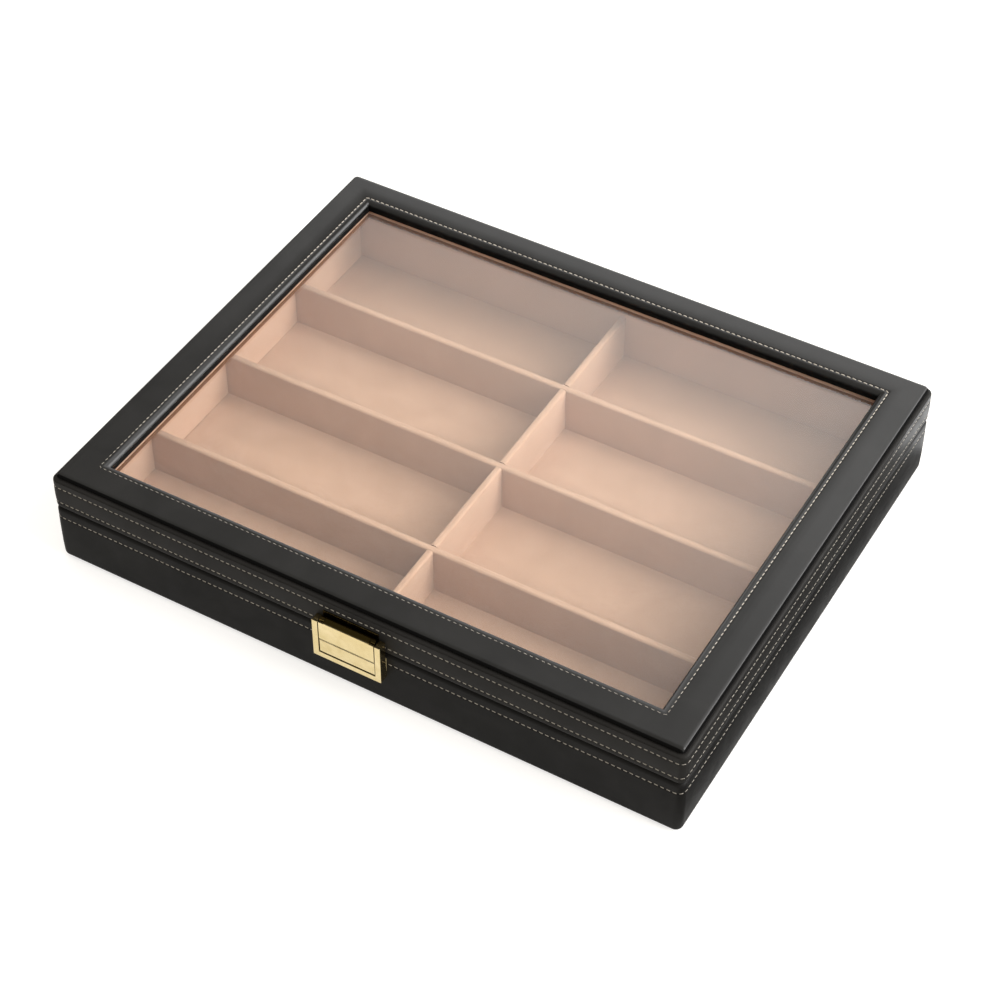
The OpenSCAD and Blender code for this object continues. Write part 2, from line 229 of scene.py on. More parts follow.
class EffectLibrary:
    """Shader groups of the shared effects, each built once."""

    @staticmethod
    def tree(effect: Effect) -> bpy.types.NodeTree:
        """Give the group of an effect, building it at its first use.

        Args:
            effect: Which effect to give.

        Returns:
            The effect's node group.
        """
        ready = bpy.data.node_groups.get(effect.value)
        if ready is not None:
            return ready
        makers = {
            Effect.DRIFT: (EffectLibrary._drift, {"Scale": 20.0, "Low": 0.0, "High": 1.0}),
            Effect.GRAIN: (EffectLibrary._grain, {"Scale": 900.0, "Unevenness": 0.3}),
            Effect.STRANDS: (
                EffectLibrary._strands,
                {"Scale": 1500.0, "Detail": 2.0, "Stretch": (1.0, 1.0, 1.0)},
            ),
            Effect.LEVEL: (EffectLibrary._level, {"Bottom": 0.0, "Top": 1.0, "Amount": 1.0}),
            Effect.RIM: (
                EffectLibrary._rim,
                {"Half width": 1.0, "Half depth": 1.0, "Reach": 1.0 * MM, "Blur": 0.5 * MM},
            ),
        }
        maker, inputs = makers[effect]
        group = bpy.data.node_groups.new(effect.value, "ShaderNodeTree")
        for name, value in inputs.items():
            kind = "NodeSocketVector" if isinstance(value, tuple) else "NodeSocketFloat"
            group.interface.new_socket(name, in_out="INPUT", socket_type=kind).default_value = value
        group.interface.new_socket("Value", in_out="OUTPUT", socket_type="NodeSocketFloat")
        sheet = NodeSheet(group)
        sheet.add("NodeGroupOutput", {"Value": maker(sheet, sheet.add("NodeGroupInput").outputs)})
        return group

    @staticmethod
    def _drift(sheet: NodeSheet, given: bpy.types.NodeOutputs) -> Socket:
        """Build slow changes between a low and a high value."""
        feeds = {"Vector": sheet.spot(), "Scale": given["Scale"], "Detail": 4.0, "Distortion": 0.6}
        noise = sheet.add("ShaderNodeTexNoise", feeds).outputs["Fac"]
        return sheet.ramp(noise, *DRIFT_SPAN, given["Low"], given["High"], "LINEAR")

    @staticmethod
    def _grain(sheet: NodeSheet, given: bpy.types.NodeOutputs) -> Socket:
        """Build the rounded pebbles of leather grain."""
        spot = sheet.spot()
        feeds = {"Vector": spot, "Scale": given["Scale"], "Smoothness": 0.6}
        cells = sheet.add("ShaderNodeTexVoronoi", feeds, feature="SMOOTH_F1").outputs["Distance"]
        feeds = {"Vector": spot, "Scale": 160.0, "Detail": 3.0}
        folds = sheet.add("ShaderNodeTexNoise", feeds).outputs["Fac"]
        feeds = {"Factor": given["Unevenness"], "A": cells, "B": folds}
        return sheet.add("ShaderNodeMix", feeds, data_type="FLOAT").outputs["Result"]

    @staticmethod
    def _strands(sheet: NodeSheet, given: bpy.types.NodeOutputs) -> Socket:
        """Build fine fibres, pile or brush lines along a chosen direction."""
        turn = sheet.add("ShaderNodeMapping", {"Vector": sheet.spot(), "Scale": given["Stretch"]})
        feeds = {"Vector": turn.outputs["Vector"], "Scale": given["Scale"], "Detail": given["Detail"]}
        return sheet.add("ShaderNodeTexNoise", feeds).outputs["Fac"]

    @staticmethod
    def _level(sheet: NodeSheet, given: bpy.types.NodeOutputs) -> Socket:
        """Build a mask that rises between two heights above the table."""
        parts = sheet.add("ShaderNodeSeparateXYZ", {"Vector": sheet.spot()}).outputs
        return sheet.ramp(parts["Z"], given["Bottom"], given["Top"], 0.0, given["Amount"])

    @staticmethod
    def _rim(sheet: NodeSheet, given: bpy.types.NodeOutputs) -> Socket:
        """Build a mask that rises near the outline of a rectangle in plan."""
        parts = sheet.add("ShaderNodeSeparateXYZ", {"Vector": sheet.spot()}).outputs
        past = [
            sheet.math("SUBTRACT", sheet.math("ABSOLUTE", parts[axis]), given[half])
            for axis, half in (("X", "Half width"), ("Y", "Half depth"))
        ]
        within = sheet.math("ADD", sheet.math("MAXIMUM", *past), given["Reach"])
        return sheet.math("DIVIDE", within, given["Blur"], clamp=True)


def new_material(label: str) -> tuple[bpy.types.Material, NodeSheet]:
    """Start a material with an empty node tree."""
    made = bpy.data.materials.new(label)
    made.use_nodes = True
    return made, NodeSheet(made.node_tree)


# Finishes


@dataclass(frozen=True)
class Finish(ABC):
    """A finish that makes its material once."""

    label: str
    slot: str

    def material(self) -> bpy.types.Material:
        """Give the material, building it at its first use."""
        ready = bpy.data.materials.get(self.label)
        if ready is not None:
            return ready
        made, sheet = new_material(self.label)
        surface = sheet.add("ShaderNodeBsdfPrincipled", self.lay_out(sheet))
        sheet.add("ShaderNodeOutputMaterial", {"Surface": self.shade(sheet, surface.outputs["BSDF"])})
        return made

    @abstractmethod
    def lay_out(self, sheet: NodeSheet) -> Feeds:
        """Lay out the nodes of the finish.

        Args:
            sheet: Node tree of the material.

        Returns:
            What goes into its Principled shader.
        """

    def shade(self, sheet: NodeSheet, shader: Socket) -> Socket:
        """Give the surface's shader, here the Principled one alone."""
        return shader


@dataclass(frozen=True)
class Leather(Finish):
    """Smooth coated leather over a thin pad."""

    deep: Colour = (0.015, 0.015, 0.015)
    worn: Colour = (0.021, 0.021, 0.021)
    gloss_low: float = 0.46
    gloss_high: float = 0.56
    specular: float = 0.06
    grain_scale: float = 1000.0
    grain_depth: float = 0.02 * MM
    wave_scale: float = 26.0
    wave_depth: float = 0.2 * MM

    def lay_out(self, sheet: NodeSheet) -> Feeds:
        """Lay out drifting colour and gloss, pebbled grain and soft waves."""
        tone = sheet.effect(Effect.DRIFT, scale=30.0)
        wave = sheet.effect(Effect.STRANDS, scale=self.wave_scale, detail=1.0)
        grain = sheet.effect(Effect.GRAIN, scale=self.grain_scale, unevenness=0.35)
        return {
            "Base Color": sheet.blend(tone, self.deep, self.worn),
            "Roughness": sheet.effect(Effect.DRIFT, scale=70.0, low=self.gloss_low, high=self.gloss_high),
            "Normal": sheet.relief(grain, self.grain_depth, sheet.relief(wave, self.wave_depth)),
            "Specular IOR Level": self.specular,
        }


@dataclass(frozen=True)
class FrameLeather(Leather):
    """Leather with a polished top and painted shade: near-black in the window's recess and on the outer edge."""

    polish: float = 0.25
    polish_gloss: float = 0.14
    polish_index: float = 1.8
    polish_from: float = 58.2 * MM
    polish_to: float = 59.0 * MM
    # Painted shade: near-black below a level, in the window's recess where shade falls, and along the outer edge
    # for the shadowed groove under the frame.
    painted_shade: Colour = (0.003, 0.003, 0.003)
    painted_shade_from: float = 59.8 * MM
    painted_shade_to: float = 58.6 * MM
    half_width: float = 183.0 * MM
    half_depth: float = 145.5 * MM
    shade_rim_reach: float = 1.0 * MM
    shade_rim_blur: float = 0.3 * MM

    def lay_out(self, sheet: NodeSheet) -> Feeds:
        """Lay out the leather, then its polish and its painted shade."""
        plain = super().lay_out(sheet)
        # Painted shade in the window's recess, below a level.
        inner = sheet.effect(Effect.LEVEL, bottom=self.painted_shade_from, top=self.painted_shade_to)
        colour = sheet.blend(inner, plain["Base Color"], self.painted_shade)
        shine = sheet.effect(Effect.LEVEL, bottom=self.polish_from, top=self.polish_to, amount=self.polish)
        # Painted shade along the outer edge, for the shadowed groove under the frame; there the leather is also
        # matt and without coat.
        edge = sheet.effect(
            Effect.RIM,
            half_width=self.half_width,
            half_depth=self.half_depth,
            reach=self.shade_rim_reach,
            blur=self.shade_rim_blur,
        )
        return {
            **plain,
            "Base Color": sheet.blend(edge, colour, self.painted_shade),
            "Roughness": sheet.math("MAXIMUM", plain["Roughness"], edge),
            "Coat Weight": sheet.math("MULTIPLY_ADD", edge, -self.polish, shine, clamp=True),
            "Coat Roughness": self.polish_gloss,
            "Coat IOR": self.polish_index,
        }


@dataclass(frozen=True)
class Velvet(Finish):
    """Short pile that lies in slightly different directions, with painted shade below a level."""

    light: Colour = (0.55, 0.36, 0.255)
    dark: Colour = (0.49, 0.315, 0.215)
    speck: Colour = (0.42, 0.262, 0.175)
    nap_scale: float = 38.0
    pile_scale: float = 1700.0
    pile_depth: float = 0.08 * MM
    # Painted shade: dark colour under the bead's lip, where the cove lies in shade.
    cove_shade: Colour = (0.14, 0.054, 0.02)
    cove_shade_from: float = 0.0
    cove_shade_to: float = 0.0

    def lay_out(self, sheet: NodeSheet) -> Feeds:
        """Lay out nap marks, flecks of pile and the soft rim of velvet, with painted shade below a level."""
        nap = sheet.effect(Effect.DRIFT, scale=self.nap_scale)
        fleck = sheet.effect(Effect.DRIFT, scale=900.0, low=0.0, high=0.45)
        pile = sheet.effect(Effect.STRANDS, scale=self.pile_scale, detail=3.0)
        colour = sheet.blend(fleck, sheet.blend(nap, self.light, self.dark), self.speck)
        # Painted shade below a level.
        if self.cove_shade_from:
            band = sheet.effect(Effect.LEVEL, bottom=self.cove_shade_from, top=self.cove_shade_to)
            colour = sheet.blend(band, colour, self.cove_shade)
        return {
            "Base Color": colour,
            "Roughness": sheet.effect(Effect.DRIFT, scale=60.0, low=0.82, high=0.98),
            "Normal": sheet.relief(pile, self.pile_depth),
            "Specular IOR Level": 0.15,
            "Sheen Weight": 0.9,
            "Sheen Roughness": 0.3,
            "Sheen Tint": (1.0, 0.88, 0.78, 1.0),
        }


@dataclass(frozen=True)
class Gilt(Finish):
    """Pale gold plating with faint brush lines, with painted shade and dark reflection above a level."""

    bright: Colour = (0.68, 0.565, 0.32)
    dull: Colour = (0.6, 0.48, 0.24)
    line_scale: float = 2400.0
    line_depth: float = 0.004 * MM
    stretch: Triple = (0.02, 1.0, 1.0)
    # Painted shade and dark reflection: near-black above a level, on the flap's top that bends back under the lid.
    top_shade: Colour = (0.11, 0.075, 0.02)
    top_shade_from: float = 0.0
    top_shade_to: float = 0.0

    def lay_out(self, sheet: NodeSheet) -> Feeds:
        """Lay out plated metal with brush lines and slow changes of gloss."""
        tone = sheet.effect(Effect.DRIFT, scale=140.0)
        lines = sheet.effect(Effect.STRANDS, scale=self.line_scale, detail=2.0, stretch=self.stretch)
        colour = sheet.blend(tone, self.bright, self.dull)
        # Painted shade and dark reflection above a level.
        if self.top_shade_to:
            top_shade_mask = sheet.effect(Effect.LEVEL, bottom=self.top_shade_from, top=self.top_shade_to)
            colour = sheet.blend(top_shade_mask, colour, self.top_shade)
        return {
            "Base Color": colour,
            "Roughness": sheet.effect(Effect.DRIFT, scale=220.0, low=0.14, high=0.26),
            "Normal": sheet.relief(lines, self.line_depth),
            "Metallic": 1.0,
        }


@dataclass(frozen=True)
class ClearPane(Finish):
    """Clear polished sheet that lets light through to the velvet."""

    index: float = 1.49
    clarity: float = 0.982

    def lay_out(self, sheet: NodeSheet) -> Feeds:
        """Lay out a clear sheet with faint wipe marks."""
        return {
            "Base Color": (0.985, 0.99, 0.985, 1.0),
            "Roughness": sheet.effect(Effect.DRIFT, scale=18.0, low=0.0, high=0.015),
            "Transmission Weight": self.clarity,
            "IOR": self.index,
        }

    def shade(self, sheet: NodeSheet, shader: Socket) -> Socket:
        """Open the pane to shadow rays."""
        shadow = sheet.add("ShaderNodeLightPath").outputs["Is Shadow Ray"]
        return sheet.choose(shadow, shader, sheet.add("ShaderNodeBsdfTransparent").outputs["BSDF"])


@dataclass(frozen=True)
class Fibre(Finish):
    """Matt fibrous stuff, such as felt or pressed board."""

    light: Colour = (0.5, 0.38, 0.26)
    dark: Colour = (0.36, 0.26, 0.17)
    scale: float = 700.0
    depth: float = 0.1 * MM
    stretch: Triple = (1.0, 1.0, 1.0)

    def lay_out(self, sheet: NodeSheet) -> Feeds:
        """Lay out fibres in two tones with a matt, uneven face."""
        strands = sheet.effect(Effect.STRANDS, scale=self.scale, detail=5.0, stretch=self.stretch)
        return {
            "Base Color": sheet.blend(strands, self.dark, self.light),
            "Roughness": sheet.effect(Effect.DRIFT, scale=90.0, low=0.78, high=0.95),
            "Normal": sheet.relief(strands, self.depth),
            "Specular IOR Level": 0.2,
        }


@dataclass(frozen=True)
class Thread(Fibre):
    """Twisted sewing thread."""

    scale: float = 2600.0
    depth: float = 0.05 * MM


WALL_LEATHER = Leather("wall_leather", "leather", (0.009, 0.0089, 0.0088), (0.0125, 0.0123, 0.0121))
# Painted light: the lid band's copy of the wall leather is lighter, for the extra light the band catches.
BAND_LEATHER = Leather("band_leather_painted_light", "leather", (0.0152, 0.0148, 0.0144), (0.0207, 0.0202, 0.0196))
FRAME_LEATHER = FrameLeather("frame_leather", "leather")
VELVET = Velvet("beige_velvet", "velvet")
# The beads' velvet has painted shade under the lip.
BEAD_VELVET = Velvet("bead_velvet", "velvet", cove_shade_from=50.5 * MM, cove_shade_to=50.1 * MM)
GILT = Gilt("pale_gilt", "brass")
# The flap's top has painted shade and dark reflection above its bend.
FLAP_GILT = Gilt("flap_gilt", "brass", top_shade_from=46.5 * MM, top_shade_to=47.1 * MM)
# The bracket's near-black tones are painted shade and dark reflection, for the dark band between the flap and the
# lid's stitches.
BRONZE = Gilt("bronze_painted_shade", "brass", (0.13, 0.09, 0.03), (0.07, 0.048, 0.014))
PANE = ClearPane("clear_pane", "pane")
BOARD = Fibre("pressed_board", "board", scale=900.0, stretch=(0.4, 0.4, 1.0))
STAINED_BOARD = Fibre("stained_board", "board", (0.03, 0.026, 0.022), (0.012, 0.011, 0.01), 900.0)
FELT = Fibre("black_felt", "felt", (0.035, 0.035, 0.036), (0.012, 0.012, 0.013), depth=0.2 * MM)
# Painted light and shade: one pale thread in two copies, darker on the walls and lighter on the top frame, where
# more light falls.
WALL_THREAD = Thread("wall_thread_painted_shade", "leather", (0.38, 0.36, 0.325), (0.25, 0.235, 0.205))
FRAME_THREAD = Thread("pale_thread", "leather", (0.62, 0.585, 0.53), (0.43, 0.4, 0.355))


# Modelling


def clear_selection() -> None:
    """Leave edit mode and deselect every object."""
    if bpy.context.object is not None and bpy.context.object.mode != "OBJECT":
        bpy.ops.object.mode_set(mode="OBJECT")
    bpy.ops.object.select_all(action="DESELECT")


def joint_spot(name: str) -> Sequence[float]:
    """Give a point of a joint's axis."""
    return next(joint for joint in frame["joints"] if joint["name"] == name)["pos_m"]


class Workpiece:
    """One mesh on the bench, shaped by edit-mode operators."""

    def __init__(self, name: str, obj: bpy.types.Object) -> None:
        """Take up a freshly added primitive and set its place into its mesh.

        Args:
            name: Name of the piece.
            obj: The primitive.
        """
        self.obj = obj
        obj.name = name
        obj.data.name = name
        bpy.ops.object.transform_apply(location=True, rotation=True, scale=True)

    @classmethod
    def block(cls, name: str, low: Vector, high: Vector) -> Self:
        """Add a block between two corners.

        Args:
            name: Name of the piece.
            low: Lowest corner.
            high: Highest corner.

        Returns:
            The block on the bench.
        """
        clear_selection()
        bpy.ops.mesh.primitive_cube_add(size=1.0, location=(low + high) / 2, scale=high - low)
        return cls(name, bpy.context.object)

    @classmethod
    def rod(
        cls, name: str, middle: Vector, radius: float, length: float, turn: Sequence[float], sides: int
    ) -> Self:
        """Add a rod.

        Args:
            name: Name of the piece.
            middle: Middle of the rod.
            radius: Its radius.
            length: Its length.
            turn: Rotation from upright, as angles round X, Y and Z.
            sides: Number of its flat sides.

        Returns:
            The rod on the bench.
        """
        clear_selection()
        bpy.ops.mesh.primitive_cylinder_add(
            vertices=sides, radius=radius, depth=length, location=middle, rotation=turn
        )
        return cls(name, bpy.context.object)

    def _select(self) -> None:
        """Make the piece the only selected object."""
        clear_selection()
        bpy.context.view_layer.objects.active = self.obj
        self.obj.select_set(True)

    def _open(self, mode: str) -> bmesh.types.BMesh:
        """Enter edit mode with nothing selected.

        Args:
            mode: What is selected: VERT, EDGE or FACE.

        Returns:
            The mesh in edit mode.
        """
        if self.obj.mode != "EDIT":
            self._select()
            bpy.ops.object.mode_set(mode="EDIT")
        bpy.ops.mesh.select_mode(type=mode)
        bpy.ops.mesh.select_all(action="DESELECT")
        mesh = bmesh.from_edit_mesh(self.obj.data)
        mesh.normal_update()
        return mesh

    def pick_faces(self, test: Callable[[Vector, Vector], bool]) -> Self:
        """Select the faces whose middle and normal pass a test."""
        for face in self._open("FACE").faces:
            face.select_set(test(face.calc_center_median(), face.normal))
        bmesh.update_edit_mesh(self.obj.data)
        return self

    def pick_edges(self, test: Callable[[Vector, Vector], bool]) -> Self:
        """Select the edges whose two ends pass a test."""
        for edge in self._open("EDGE").edges:
            if test(edge.verts[0].co, edge.verts[1].co):
                edge.select_set(True)
        bmesh.update_edit_mesh(self.obj.data)
        return self

    def pick_points(self, test: Callable[[Vector], bool]) -> Self:
        """Select the points whose place passes a test."""
        mesh = self._open("VERT")
        for point in mesh.verts:
            point.select_set(test(point.co))
        mesh.select_flush_mode()
        bmesh.update_edit_mesh(self.obj.data)
        return self

    def pick_level(self, level: float) -> Self:
        """Select the points at a height."""
        return self.pick_points(lambda co: abs(co.z - level) < TINY)

    def bevel(self, width: float, steps: int) -> Self:
        """Round the selected edges."""
        bpy.ops.mesh.bevel(offset=width, segments=steps, profile=0.5, affect="EDGES", clamp_overlap=False)
        return self

    def round_corners(self, radius: float, steps: int = CORNER_STEPS) -> Self:
        """Round the upright edges."""
        return self.pick_edges(lambda a, b: abs(a.z - b.z) > TINY).bevel(radius, steps)

    def round_rim(self, level: float, radius: float, steps: int = EDGE_STEPS) -> Self:
        """Round the edges at a height."""
        self.pick_edges(lambda a, b: max(abs(a.z - level), abs(b.z - level)) < TINY)
        return self.bevel(radius, steps)

    def inset(self, width: float, each: bool = False) -> Self:
        """Inset the selected faces, together or each by itself."""
        bpy.ops.mesh.inset(thickness=width, use_individual=each, use_even_offset=True)
        return self

    def weld(self, gap: float) -> Self:
        """Join selected points that lie closer than a gap."""
        bpy.ops.mesh.remove_doubles(threshold=gap)
        return self

    def extrude(self, move: Sequence[float]) -> Self:
        """Extrude the selection by a move."""
        bpy.ops.mesh.extrude_region_move(TRANSFORM_OT_translate={"value": tuple(move)})
        return self

    def move(self, by: Sequence[float]) -> Self:
        """Move the selection."""
        bpy.ops.transform.translate(value=tuple(by))
        return self

    def stretch(self, by: Sequence[float], centre: Sequence[float] = (0.0, 0.0, 0.0)) -> Self:
        """Scale the selection about a point."""
        bpy.ops.transform.resize(value=tuple(by), center_override=tuple(centre))
        return self

    def swell(self, by: float) -> Self:
        """Push the selection out along its normals, or in where negative."""
        bpy.ops.transform.shrink_fatten(value=by)
        return self

    def remove_faces(self) -> Self:
        """Delete the selected faces."""
        bpy.ops.mesh.delete(type="FACE")
        return self

    def cut(self, point: Sequence[float], normal: Sequence[float], drop: bool = False) -> Self:
        """Cut the whole mesh along a plane.

        Args:
            point: A point of the plane.
            normal: The plane's normal.
            drop: Whether to drop what lies on the normal's side and close the cut.

        Returns:
            The piece itself.
        """
        self._open("FACE")
        bpy.ops.mesh.select_all(action="SELECT")
        bpy.ops.mesh.bisect(plane_co=tuple(point), plane_no=tuple(normal), clear_outer=drop, use_fill=drop)
        return self

    def slice(self, axis: int, *places: float) -> Self:
        """Cut the whole mesh square to an axis.

        Args:
            axis: 0 for X, 1 for Y and 2 for Z.
            *places: Where the cuts lie along the axis.

        Returns:
            The piece itself.
        """
        normal = [float(number == axis) for number in range(3)]
        for place in places:
            self.cut([place * share for share in normal], normal)
        return self

    def modify(self, kind: str, **settings: object) -> Self:
        """Add one modifier and apply it.

        Args:
            kind: Blender's identifier of the modifier.
            **settings: Its settings.

        Returns:
            The piece itself.
        """
        self._select()
        modifier = self.obj.modifiers.new(kind.lower(), kind)
        for key, value in settings.items():
            setattr(modifier, key, value)
        bpy.ops.object.modifier_apply(modifier=modifier.name)
        return self

    def soften(self, width: float, steps: int = 3, angle: float = EDGE_ANGLE) -> Self:
        """Round every edge sharper than an angle in degrees."""
        limit = math.radians(angle)
        return self.modify("BEVEL", width=width, segments=steps, limit_method="ANGLE", angle_limit=limit)

    def join(self, *others: Self) -> Self:
        """Join other workpieces into this one."""
        self._select()
        for other in others:
            other.obj.select_set(True)
        bpy.ops.object.join()
        return self

    def copy(self, name: str, shift: Sequence[float]) -> Self:
        """Copy the piece with a mesh of its own.

        Args:
            name: Name of the copy.
            shift: Move from this piece to the copy.

        Returns:
            The copy on the bench.
        """
        self._select()
        bpy.ops.object.duplicate(linked=False)
        bpy.ops.transform.translate(value=tuple(shift))
        return type(self)(name, bpy.context.object)

    def smooth(self, angle: float = EDGE_ANGLE) -> bpy.types.Object:
        """Shade the piece smooth up to an angle and take it off the bench.

        Args:
            angle: Sharpest angle in degrees that still looks round.

        Returns:
            The finished object.
        """
        self._select()
        bpy.ops.object.shade_smooth_by_angle(angle=math.radians(angle))
        self.modify("WEIGHTED_NORMAL", mode="FACE_AREA", weight=50, keep_sharp=True)
        return self.obj


@dataclass
class Made:
    """A finished piece with what it is made of and what carries it."""

    obj: bpy.types.Object
    finish: Finish
    body: Body
    nodes: tuple[str, ...] = ()


@dataclass
class Assembly(ABC):
    """A sub-assembly that builds its pieces and then dresses them."""

    made: list[Made] = field(default_factory=list, init=False)

    @abstractmethod
    def build(self) -> None:
        """Build the meshes of the sub-assembly."""

    def dress(self) -> None:
        """Give every piece its finish, its body and its CAD nodes."""
        for piece in self.made:
            piece.obj.data.materials.clear()
            piece.obj.data.materials.append(piece.finish.material())
            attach(piece.obj, piece.body.value)
            if piece.nodes:
                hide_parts(*piece.nodes)

    def keep(self, obj: bpy.types.Object, finish: Finish, body: Body, *nodes: str) -> None:
        """Note a finished piece and the CAD nodes that it stands for."""
        self.made.append(Made(obj, finish, body, nodes))


# Leather


@dataclass
class StitchRow:
    """One row of stitches round a rounded rectangle in plan."""

    name: str
    half_x: float
    half_y: float
    corner_r: float
    height: float
    pitch: float = 3.3 * MM
    length: float = 2.1 * MM
    thread_r: float = 0.27 * MM
    sides: int = 8
    slant: float = 5.0
    tuck: tuple[tuple[float, float], ...] = ((0.6, 0.8), (0.4, 0.5))

    def _path(self) -> bpy.types.Object:
        """Draw the line that the stitches follow.

        Returns:
            A closed curve.
        """
        middle = (0.0, 0.0, self.height)
        clear_selection()
        bpy.ops.mesh.primitive_plane_add(size=2.0, location=middle)
        bpy.ops.object.transform_apply(location=True, rotation=True, scale=True)
        bpy.ops.object.mode_set(mode="EDIT")
        bpy.ops.mesh.select_all(action="SELECT")
        bpy.ops.transform.resize(value=(self.half_x, self.half_y, 1.0), center_override=middle)
        bpy.ops.mesh.bevel(offset=self.corner_r, segments=EDGE_STEPS, affect="VERTICES")
        bpy.ops.mesh.select_all(action="SELECT")
        bpy.ops.mesh.delete(type="ONLY_FACE")
        bpy.ops.object.mode_set(mode="OBJECT")
        bpy.ops.object.convert(target="CURVE")
        path = bpy.context.object
        path.data.dimensions = "3D"
        path.data.twist_mode = "Z_UP"
        return path

    def _stitch(self) -> Workpiece:
        """Model one stitch: a short thread with tucked ends.

        Returns:
            The stitch on the bench.
        """
        middle = Vector((self.length / 2, 0.0, 0.0))
        body = self.length - 2 * self.thread_r
        work = Workpiece.rod(self.name, middle, self.thread_r, body, (0.0, QUARTER, 0.0), self.sides)
        for way in ENDS:
            end = (middle.x + way * body / 2, 0.0, 0.0)
            work.pick_faces(lambda c, n: n.x * way > FACING)
            for reach, share in self.tuck:
                work.extrude((way * reach * self.thread_r, 0.0, 0.0)).stretch((1.0, share, share), end)
        work.pick_points(lambda co: True)
        bpy.ops.transform.rotate(
            value=math.radians(self.slant), orient_axis="Z", center_override=tuple(middle)
        )
        return work

    def build(self) -> bpy.types.Object:
        """Sew the row along its line.

        Returns:
            The finished row.
        """
        path = self._path()
        straight = 4 * (self.half_x + self.half_y) - 8 * self.corner_r
        round_trip = straight + 2 * math.pi * self.corner_r
        count = round(round_trip / self.pitch)
        work = self._stitch()
        work.modify(
            "ARRAY",
            fit_type="FIXED_COUNT",
            count=count,
            use_relative_offset=False,
            use_constant_offset=True,
            constant_offset_displace=(round_trip / count, 0.0, 0.0),
        )
        work.modify("CURVE", object=path, deform_axis="POS_X")
        bpy.data.objects.remove(path)
        return work.smooth(THREAD_ANGLE)


@dataclass
class WallCover(Assembly):
    """Padded leather round one ring of walls, with its stitch rows."""

    name: str
    node: str
    body: Body
    top_r: float
    low_r: float
    rows: tuple[float, ...]
    crowns: tuple[float, ...]
    low_lip: float
    finish: Leather
    creases: tuple[float, ...] = ()
    top_lip: float = 6.2 * MM
    corner_r: float = 4.2 * MM
    leather_t: float = 1.0 * MM
    channel: float = 0.35 * MM
    channel_w: float = 1.0 * MM
    channel_cuts: tuple[float, ...] = (-1.0, -0.5, 0.0, 0.5, 1.0)
    channel_form: tuple[float, ...] = (0.0, CHANNEL_SIDE, 1.0, CHANNEL_SIDE, 0.0)
    crease_w: float = 0.3 * MM
    crease_h: float = 0.3 * MM
    crown: float = 0.2 * MM

    def _turn_in(self, work: Workpiece, level: float, edge_r: float, lip: float) -> None:
        """Turn the leather in over the walls and open the middle.

        Args:
            work: The cover on the bench.
            level: Height of the face to open.
            edge_r: Radius of the rounded edge round that face.
            lip: Width of the leather that stays, from the outside.
        """
        work.pick_faces(lambda c, n: abs(n.z) > FACING and abs(c.z - level) < TINY)
        work.inset(self.corner_r - edge_r - SLACK).weld(WELD_GAP)
        work.inset(lip - self.corner_r + SLACK).remove_faces()

    def build(self) -> None:
        """Build the cover from a rounded block, then sew its rows."""
        low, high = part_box(self.node)
        work = Workpiece.block(self.name, low, high).round_corners(self.corner_r)
        work.round_rim(high.z, self.top_r).round_rim(low.z, self.low_r)
        self._turn_in(work, high.z, self.top_r, self.top_lip)
        self._turn_in(work, low.z, self.low_r, self.low_lip)
        work.slice(2, *self.crowns)
        for level in self.crowns:
            work.pick_level(level).swell(self.crown)
        for level in self.rows:
            cuts = [level + step * self.channel_w for step in self.channel_cuts]
            work.slice(2, *cuts)
            for place, share in zip(cuts, self.channel_form):
                if share:
                    work.pick_level(place).swell(-share * self.channel)
        for level in self.creases:
            work.slice(2, *(level + step * self.crease_w for step in ROWS))
            work.pick_level(level).swell(-self.crease_h)
        work.modify("SOLIDIFY", thickness=self.leather_t, offset=-1.0)
        self.keep(work.smooth(), self.finish, self.body, self.node)
        inward = self.channel - THREAD_RISE
        for count, level in enumerate(self.rows, 1):
            name = f"{self.name}_stitches_{count}"
            row = StitchRow(name, high.x - inward, high.y - inward, self.corner_r, level)
            self.keep(row.build(), WALL_THREAD, self.body)


